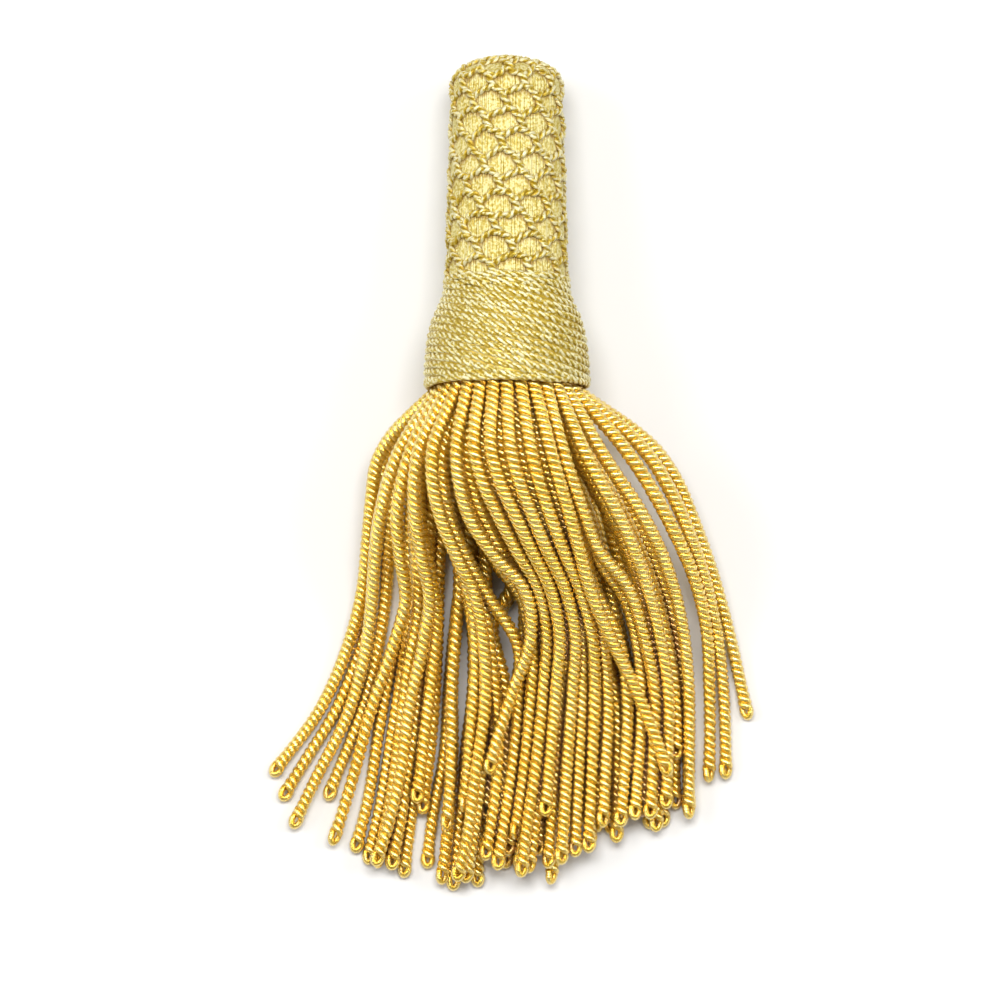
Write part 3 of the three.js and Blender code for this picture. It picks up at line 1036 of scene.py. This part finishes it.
@dataclass
class Net:
    """The net over the shank: closed rings of arched cord, tied to each other by short bars.

    A ring lies lower by the arch between its peaks, and leans there by some degrees. The bars run past
    the cords that they tie, and each ring is turned a little against the one before it.
    """

    head: Head
    random: Generator
    meshes: int = 10
    rings: int = 12
    first_ring: float = 5.4
    ring_pitch: float = 3.26
    arch: float = 1.45
    last_low: float = 41.7
    first_angle: float = 22.0
    twist_per_ring: float = 1.6
    lean: float = 2.0
    cord: Twist = Twist(ply_radius=0.38, lay_radius=0.27, pitch=2.6, steps_per_turn=9)
    depth: float = 0.5
    sharpness: float = 1.2
    arch_rise: float = 0.12
    ring_radius: float = 9.68
    end_rings: tuple[float, ...] = (1.0, 2.2, 3.5)
    wander: float = 0.14
    waves: tuple[int, ...] = (3, 5, 8, 13, 21)
    bar_reach: tuple[float, float] = (-0.3, 1.25)
    bar_points: int = 14
    bar_lean: float = 3.0
    bar_rise: float = 0.18
    bar_lift: float = 0.04
    contact_reach: tuple[float, float] = (0.5, 0.8)
    contact_shift: float = 0.25
    lines: list[Line] = field(default_factory=list)

    def arch_over(self, ring: int, part: float | np.ndarray) -> float | np.ndarray:
        """Finds how far over the shank a ring's cord lies.

        Args:
            ring: The ring's number.
            part: The way from one peak, at 0, to the next, at 1.

        Returns:
            Distances over the outline.
        """
        top = self.first_ring + ring * self.ring_pitch
        low = min(top + self.arch, self.last_low)
        away = np.minimum(part, 1 - part) * 2
        return top + (low - top) * away**self.sharpness

    def mesh_angle(self) -> float:
        """Returns the angle that one mesh takes up, in degrees."""
        return 360.0 / self.meshes

    def first_peak(self, ring: int) -> float:
        """Returns the angle of a ring's first peak, in degrees."""
        return self.first_angle + ring * (self.mesh_angle() / 2 - self.twist_per_ring)

    def build(self, finish: Material) -> None:
        """Makes the cords.

        Args:
            finish: Their finish.
        """
        tubes = Tubes.of(self.cord)
        around = ring_angles(self.ring_radius, self.cord.step())
        part = (around / self.mesh_angle()) % 1.0
        drift = -self.lean * np.sin(np.pi * part) ** 2
        height = -self.depth + self.arch_rise * np.cos(TURN * part)
        for ring in range(self.rings):
            over = self.arch_over(ring, part) + uneven(around, self.wander, self.waves, self.random)
            angle = self.first_peak(ring) + around + drift
            self.lay(tubes, self.head.on_shank(over, angle, height, closed=True))
            if ring + 1 < self.rings:
                for k in range(self.meshes):
                    self.lay(tubes, self.bar(ring, k))
        for radius in self.end_rings:
            around = ring_angles(radius, self.cord.step())
            over = radius + uneven(around, self.wander, self.waves, self.random)
            height = np.full_like(around, -self.depth)
            self.lay(tubes, self.head.on_shank(over, around, height, closed=True))
        dress(tubes.mesh("net_cords"), finish, "stem_net")

    def bar(self, ring: int, k: int) -> Line:
        """Draws the bar that ties a low point of one ring to a peak of the next.

        Args:
            ring: The ring's number.
            k: The number of the low point in the ring.

        Returns:
            The middle of its cord.
        """
        start = self.first_peak(ring) + (k + 0.5) * self.mesh_angle() - self.lean - self.bar_lean
        end = self.first_peak(ring + 1) + k * self.mesh_angle() + self.bar_lean
        low, peak = self.arch_over(ring, 0.5), self.arch_over(ring + 1, 0.0)
        part = np.linspace(*self.bar_reach, self.bar_points)
        rise = self.bar_rise * np.sin(np.pi * np.clip(part, 0, 1)) + self.random.normal(0.0, self.bar_lift)
        return self.head.on_shank(low + (peak - low) * part, start + (end - start) * part, rise - self.depth)

    def lay(self, tubes: Tubes, line: Line) -> None:
        """Adds a cord along a line, and keeps the line."""
        self.lines.append(line)
        tubes.lay(self.cord, line, self.random)

    def contact(self) -> Callable[[np.ndarray], np.ndarray]:
        """Prepares the shade that the cords throw on what they touch.

        Returns:
            A function that gives, for rings of vertices, 0 beside a cord and 1 away from the cords.
        """
        points = np.vstack([line.points for line in self.lines])
        tree = KDTree(len(points))
        for index, point in enumerate(points):
            tree.insert(point, index)
        tree.balance()
        shift = self.head.axis * self.contact_shift

        def openness(rings: np.ndarray) -> np.ndarray:
            """Returns the openness of each vertex of a tube's rings."""
            near = [tree.find(place)[2] for place in (rings - shift).reshape(-1, 3)]
            return np.interp(near, self.contact_reach, (0.0, 1.0)).reshape(rings.shape[:2])

        return openness


@dataclass
class Bell:
    """The bell: a core, and the rows of twisted cord that are wound on it close together.

    The rows slant by the tilt, apart from those at the neck and the rim. Each sways along the axis and
    lifts off it a little.
    """

    head: Head
    random: Generator
    row_pitch: float = 1.17
    row_tilt: float = 15.0
    neck_rows: tuple[float, ...] = (35.2, 36.1)
    rim_row: float = 51.4
    cord: Twist = Twist(
        ply_radius=0.31, lay_radius=0.29, pitch=4.4, steps_per_turn=12, plies=3, hand=Hand.Z
    )
    ring_step: float = 0.35
    sway: float = 0.05
    sway_waves: tuple[int, ...] = (3, 7, 13)
    lift: float = 0.03
    lift_waves: tuple[int, ...] = (4, 9, 17)
    overlap: float = 0.5
    fewest: int = 8
    core_depth: float = 0.5
    core_points: int = 14

    def build(self, finish: Material) -> None:
        """Makes the core and the winding.

        Args:
            finish: The finish of both.
        """
        start, end = self.head.bell[0][0], self.head.bell[-1][0]
        along = np.linspace(start, end, self.core_points)
        profile = self.head.place(along, self.head.bell_radius(along) - self.core_depth, np.zeros_like(along))
        dress(self.head.body("bell_core", profile), finish, "collar")

        tubes = Tubes.of(self.cord)
        for level in self.neck_rows:
            self.wind(tubes, level, 0.0)
        reach = math.tan(math.radians(self.row_tilt)) * self.head.bell[-1][1]
        for level in np.arange(start - reach, end + reach, self.row_pitch):
            self.wind(tubes, float(level), self.row_tilt)
        self.wind(tubes, self.rim_row, 0.0)
        dress(tubes.mesh("bell_winding"), finish, "collar")

    def wind(self, tubes: Tubes, level: float, tilt: float) -> None:
        """Winds one row, as far as it lies on the bell.

        Args:
            tubes: Where its plies go.
            level: How far along the axis the row lies.
            tilt: The angle between the row and the rim, in degrees.
        """
        around = float(self.head.bell_radius(np.array([level]))[0])
        angle = ring_angles(around, self.ring_step)
        slant = math.tan(math.radians(tilt)) * around * np.sin(np.radians(angle))
        places = level + slant + uneven(angle, self.sway, self.sway_waves, self.random)
        lift = uneven(angle, self.lift, self.lift_waves, self.random)
        radii = self.head.bell_radius(places) - self.cord.ply_radius - self.cord.lay_radius + lift
        points = self.head.place(places, radii, angle)
        normals = unit(self.head.place(places, radii + 1, angle) - points)
        on_bell = (places > self.head.bell[0][0] - self.overlap) & (places < self.rim_row)
        closed = tilt == 0.0 or bool(on_bell.all())
        if not closed:
            if on_bell.sum() < self.fewest:
                return
            first_on = int(np.flatnonzero(on_bell & ~np.roll(on_bell, 1))[0])
            kept = np.roll(np.arange(len(angle)), -first_on)[: int(on_bell.sum())]
            points, normals = points[kept], normals[kept]
        tubes.lay(self.cord, Line(points, normals, closed), self.random)


# The skirt


@dataclass
class Crowd:
    """Finds how open the surface of a strand lies to the light, among the other strands and the bell."""

    tree: BVHTree
    clearance: float = 1.1
    reach: float = 5.0
    directions: int = 12
    lean: float = 0.8
    stride: int = 3
    low_weight: float = 0.15

    def openness(self, line: Line) -> np.ndarray:
        """Looks out from all round a line.

        Args:
            line: The middle of a strand.

        Returns:
            The openness at each of its points, in each direction round it from its normal.
        """
        tangents = line.tangents()
        sides = np.cross(tangents, line.normals)
        coarse = np.arange(0, len(line.points), self.stride)
        table = np.zeros((len(coarse), self.directions))
        for row, index in enumerate(coarse):
            for column in range(self.directions):
                angle = TURN * column / self.directions
                out = line.normals[index] * math.cos(angle) + sides[index] * math.sin(angle)
                beside = np.cross(tangents[index], out)
                start = Vector((line.points[index] + out * self.clearance) * MM)
                leans = (out * 0, tangents[index], -tangents[index], beside, -beside)
                rays = unit(out + np.array(leans) * self.lean)
                weights = self.low_weight + np.maximum(rays[:, 2], 0.0)
                seen = [self.sees(start, Vector(ray)) for ray in rays]
                table[row, column] = float(np.dot(weights, seen) / weights.sum())
        every = np.arange(len(line.points))
        return np.stack([np.interp(every, coarse, table[:, k]) for k in range(self.directions)], axis=1)

    def sees(self, start: Vector, ray: Vector) -> float:
        """Returns how much of a ray's reach is free, from 0 to 1."""
        hit = self.tree.ray_cast(start, ray, self.reach * MM)
        return 1.0 if hit[0] is None else hit[3] / (self.reach * MM)

    def spread(self, table: np.ndarray, line: Line, index: np.ndarray, rings: np.ndarray) -> np.ndarray:
        """Gives the vertices of a ply their openness.

        Args:
            table: The openness round the strand's line.
            line: The middle of the strand.
            index: For each ring of the ply, the point of the line that it lies beside.
            rings: The vertices of the ply, ring after ring.

        Returns:
            The openness of each vertex.
        """
        normals = line.normals[index]
        sides = np.cross(line.tangents(), line.normals)[index]
        angle = angles_round(rings - line.points[index][:, None], normals, sides)
        place = (angle / TURN * self.directions) % self.directions
        low = np.floor(place).astype(int) % self.directions
        part = place - np.floor(place)
        rows = table[index]
        after = np.take_along_axis(rows, (low + 1) % self.directions, axis=1)
        return np.take_along_axis(rows, low, axis=1) * (1 - part) + after * part


@dataclass
class Skirt:
    """The bullion strands, each a two-ply twist with a loop at its tip, and their heading.

    The plies of a strand spread over its last length, the ease, into its loop. Where its tip lies higher
    than upper_tip, it may be cut back further than the others.
    """

    node: Object
    collar: Object
    head: Head
    random: Generator
    rod_radius: float = 0.98
    rod_tolerance: float = 0.15
    rod_evenness: float = 0.12
    tip_reach: float = 1.6
    cord: Twist = Twist(ply_radius=0.5, lay_radius=0.52, pitch=2.2, steps_per_turn=10, oval=1.1)
    girth_over: tuple[float, ...] = (0.0, 25.0, 45.0, 67.0)
    girth: tuple[float, ...] = (1.14, 1.16, 1.08, 1.02)
    root_depth: float = 2.6
    loop_depth: float = 1.5
    loop_spread: float = 1.3
    loop_width: float = 1.1
    loop_points: int = 9
    loop_slack: float = 0.45
    ease: float = 2.2
    pitch_spread: float = 0.06
    upper_tip: float = 2.0
    upper_share: float = 0.5
    upper_cut: tuple[float, float] = (2.0, 11.0)
    lower_cut: float = 1.8
    heading: tuple[tuple[float, float], ...] = ((48.8, 11.252), (49.7, 11.6), (50.3, 11.252))
    heading_steps: int = 48
    pieces: int = 4

    def rod_lines(self) -> list[np.ndarray]:
        """Reads the middle of each strand from the frame.

        A strand there is a four-sided rod that ends in a point, so its middle is the row of the middles
        of its sections, walked from that point back to the heading.

        Returns:
            The middle of each strand, from its root to its tip.
        """
        form = welded(self.node.data)
        lines = []
        for apex in form.verts:
            ring = self.section(edge.other_vert(apex) for edge in apex.link_edges)
            if ring is None or (ring[1] - apex.co).length > self.tip_reach * MM:
                continue
            middles = [np.array(apex.co) / MM]
            seen = {apex}
            while ring is not None:
                corners, middle = ring
                middles.append(np.array(middle) / MM)
                seen.update(corners)
                ring = self.section(
                    {edge.other_vert(corner) for corner in corners for edge in corner.link_edges} - seen
                )
            lines.append(np.array(middles[::-1]))
        form.free()
        return lines

    def section(self, corners: Iterable[bmesh.types.BMVert]) -> tuple[list, Vector] | None:
        """Tests whether corners are a section of a rod.

        Args:
            corners: Vertices of the frame's mesh.

        Returns:
            The corners and their middle, or None.
        """
        found = list(corners)
        if len(found) != 4:
            return None
        middle = sum((corner.co for corner in found), Vector()) / 4
        reaches = [(corner.co - middle).length / MM for corner in found]
        even = max(reaches) - min(reaches) < self.rod_evenness
        sized = abs(sum(reaches) / 4 - self.rod_radius) < self.rod_tolerance
        return (found, middle) if even and sized else None

    def cut(self, middles: np.ndarray) -> np.ndarray:
        """Cuts a strand back a little, and further where it ends on top of others.

        Args:
            middles: The middle of the strand, from its root to its tip.

        Returns:
            What is left of the middle.
        """
        root = middles[0] - unit(middles[1] - middles[0]) * self.root_depth
        line = smooth_between(np.vstack([root, middles]), self.cord.step())
        length = self.lower_cut * float(self.random.random()) ** 2
        on_top = self.random.random() < self.upper_share
        deeper = float(self.random.uniform(*self.upper_cut))
        if middles[-1][2] > self.upper_tip and on_top:
            length = deeper
        over = running_length(line)
        return line[over <= over[-1] - length - self.loop_depth - self.cord.ply_radius]

    def strand(self, crowd: Crowd, middle: Line) -> Tube:
        """Twists one strand along its line: down one ply, round the loop and back up the other.

        Args:
            crowd: What lies round it.
            middle: The middle of the strand, from its root to its tip.

        Returns:
            The ply.
        """
        over = middle.distances()
        girth = np.interp(over, self.girth_over, self.girth)
        spread = girth * np.interp(over[-1] - over, (0.0, self.ease), (self.loop_spread, 1.0))
        pitch = self.cord.pitch * (1 + self.random.normal(0.0, self.pitch_spread))
        twist = replace(self.cord, pitch=pitch)
        last = twist.hand.value * TURN * over[-1] / pitch
        turn = math.pi / 2 - last + float(self.random.normal(0.0, self.loop_slack))
        down, back = (twist.ply(middle, start, spread) for start in (turn, turn + math.pi))
        centre = (down.points[-1] + back.points[-1]) / 2
        across = (down.points[-1] - back.points[-1]) / 2
        ahead = middle.tangents()[-1] * self.loop_depth
        angles = np.linspace(0, math.pi, self.loop_points)[1:-1, None]
        loop = centre + across * np.cos(angles) * self.loop_width + ahead * np.sin(angles)
        # The loop's normals lean towards the strand's normal, which also puts the painted crest highlight on
        # top of the loop.
        turned = unit(unit(loop - centre) + middle.normals[-1])
        points = np.vstack([down.points, loop, back.points[::-1]])
        normals = np.vstack([down.normals, turned, back.normals[::-1]])
        every = np.arange(len(over))
        index = np.concatenate([every, np.full(len(loop), every[-1]), every[::-1]])
        table = crowd.openness(middle)
        tone = float(self.random.random())
        return Tube(
            Line(points, normals), tone, girth[index], lambda rings: crowd.spread(table, middle, index, rings)
        )

    def crowd(self, middles: Sequence[Line]) -> Crowd:
        """Gathers what lies round a strand: the other strands and the bell.

        Args:
            middles: The middle of each strand.

        Returns:
            The crowd.
        """
        rods = Tubes(self.rod_radius)
        for middle in middles:
            rods.add(Tube(middle))
        shape = rods.shape("rods")
        form = bmesh.new()
        form.from_mesh(shape)
        form.from_mesh(self.collar.data)
        bpy.data.meshes.remove(shape)
        tree = BVHTree.FromBMesh(form)
        form.free()
        return Crowd(tree)

    def build(self, bullion: Material) -> None:
        """Makes the strands and their heading.

        Args:
            bullion: The finish of both.
        """
        rods = sorted(self.rod_lines(), key=lambda line: tuple(line[-1]))
        LOG.info("strands in the frame: %d", len(rods))
        middles = [Line(line, carried_normals(line)) for line in map(self.cut, rods)]
        crowd = self.crowd(middles)
        share = math.ceil(len(middles) / self.pieces)
        for k in range(self.pieces):
            tubes = Tubes.of(self.cord)
            for middle in middles[k * share : (k + 1) * share]:
                tubes.add(self.strand(crowd, middle))
            dress(tubes.mesh(f"bullion_strands_{k + 1}"), bullion, "skirt")

        along, radius = np.array(self.heading).T
        profile = self.head.place(along, radius, np.zeros_like(along))
        # Painted shade: with openness 0 the heading takes the shadow colour all over.
        heading = self.head.body("heading", profile, self.heading_steps, openness=0.0)
        dress(heading, bullion, "skirt")


# The studio


@dataclass(frozen=True)
class Lamp:
    """A soft box, aimed at the tassel: its first size lies across the picture, its second along it."""

    name: str
    direction: tuple[float, float, float]
    distance: float
    sizes: tuple[float, float]
    power: float

    def build(self, aim: Vector) -> None:
        """Places the light.

        Args:
            aim: The point that it faces.
        """
        light = bpy.data.lights.new(self.name, "AREA")
        light.shape = "RECTANGLE"
        light.size, light.size_y = self.sizes
        light.energy = self.power
        away = Vector(self.direction).normalized()
        along = (Vector((0.0, 1.0, 0.0)) - away * away.y).normalized()
        turned = Matrix((along.cross(away), along, away)).transposed().to_4x4()
        in_scene(self.name, light).matrix_world = Matrix.Translation(aim + away * self.distance) @ turned


@dataclass(frozen=True)
class Studio:
    """The floor, the lights and the camera, which looks straight down."""

    aim: tuple[float, float, float] = (-1.64, -3.33, 8.0)
    frame_width: float = 155.6
    camera_height: float = 1.6
    camera_reach: float = 20.0
    sensor: float = 36.0
    floor_side: float = 6.0
    lamps: tuple[Lamp, ...] = (
        Lamp("overhead box", (0.0, 0.32, 0.95), 1.9, (1.2, 0.6), 33.0),
        Lamp("left box", (-1.0, 0.35, 0.9), 1.8, (0.7, 0.7), 10.0),
        Lamp("right box", (1.0, 0.35, 0.9), 1.8, (0.7, 0.7), 8.0),
    )
    world_light: float = 0.34
    world_tint: Colour = (1.0, 0.96, 0.88)

    def build(self) -> None:
        """Makes the studio."""
        aim = Vector(self.aim) * MM
        camera = bpy.data.cameras.new("camera")
        camera.sensor_width = self.sensor
        camera.lens = self.sensor * self.camera_height / (self.frame_width * MM)
        camera.clip_end = self.camera_reach
        view = in_scene("camera", camera)
        view.location = aim + Vector((0, 0, self.camera_height))
        bpy.context.scene.camera = view

        form = bmesh.new()
        bmesh.ops.create_grid(form, x_segments=1, y_segments=1, size=self.floor_side / 2)
        mesh = bpy.data.meshes.new("floor")
        form.to_mesh(mesh)
        form.free()
        mesh.materials.append(Paper().material())
        floor = in_scene("floor", mesh)

        for lamp in self.lamps:
            lamp.build(aim)
        world = bpy.data.worlds.new("studio")
        world.use_nodes = True
        constants = {"Color": (*self.world_tint, 1.0), "Strength": self.world_light}
        set_inputs(world.node_tree.nodes["Background"], constants)
        bpy.context.scene.world = world
        bpy.context.scene.view_settings.view_transform = "Standard"


BULLION = MetalThread(
    name="bright bullion",
    shadow=(0.42, 0.22, 0.09),
    deep=(0.84, 0.52, 0.04),
    body=(0.94, 0.65, 0.09),
    bright=(1.0, 0.79, 0.28),
    metallic=0.85,
    roughness=0.19,
    relief=Relief.COIL,
    relief_height=0.013,
    narrowness=10.0,
    crest_light_weight=0.7,
    shut=0.15,
    clear=0.65,
    coat=0.6,
)
SATIN = MetalThread(
    name="satin thread",
    shadow=(0.30, 0.18, 0.03),
    deep=(0.40, 0.27, 0.018),
    body=(0.50, 0.40, 0.075),
    bright=(0.68, 0.61, 0.29),
    metallic=0.3,
    roughness=0.5,
    relief=Relief.FIBRES,
    relief_height=0.03,
    fibres=4.0,
    speckle_weight=2.4,
    crest_light_weight=0.5,
    shut=0.0,
)
NET_CORD = MetalThread(
    name="net cord",
    shadow=(0.36, 0.21, 0.03),
    deep=(0.43, 0.28, 0.01),
    body=(0.55, 0.42, 0.055),
    bright=(0.75, 0.70, 0.42),
    metallic=0.4,
    roughness=0.42,
    relief=Relief.FIBRES,
    relief_height=0.15,
    narrowness=3.0,
    streaks=2.0,
    fibre_weight=1.8,
    speckle_weight=1.8,
    speckles=1300.0,
    shut=0.3,
)
WINDING = replace(
    NET_CORD,
    name="wound cord",
    shadow=(0.30, 0.17, 0.02),
    deep=(0.46, 0.31, 0.01),
    body=(0.60, 0.48, 0.08),
    bright=(0.84, 0.80, 0.50),
    streaks=3.0,
    fibre_weight=2.0,
    speckle_weight=3.0,
    speckles=1900.0,
    clear=0.75,
    coat=0.35,
    coat_roughness=0.35,
)


def main() -> None:
    """Builds the studio and the tassel around the frame."""
    logging.basicConfig(level=logging.INFO, format="%(name)s: %(message)s")
    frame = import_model()
    Studio().build()
    random = np.random.default_rng(SEED)
    groups = Groups(coil_group(), painted_crest_light_group(), fibre_group())
    nodes = frame["nodes"]
    head = Head(nodes["stem"])
    Skirt(nodes["skirt"], nodes["collar"], head, random).build(BULLION.material(groups))
    net = Net(head, random)
    net.build(NET_CORD.material(groups))
    Shank(head, random).build(SATIN.material(groups), net.contact())
    Bell(head, random).build(WINDING.material(groups))


if __name__ == "__main__":
    main()
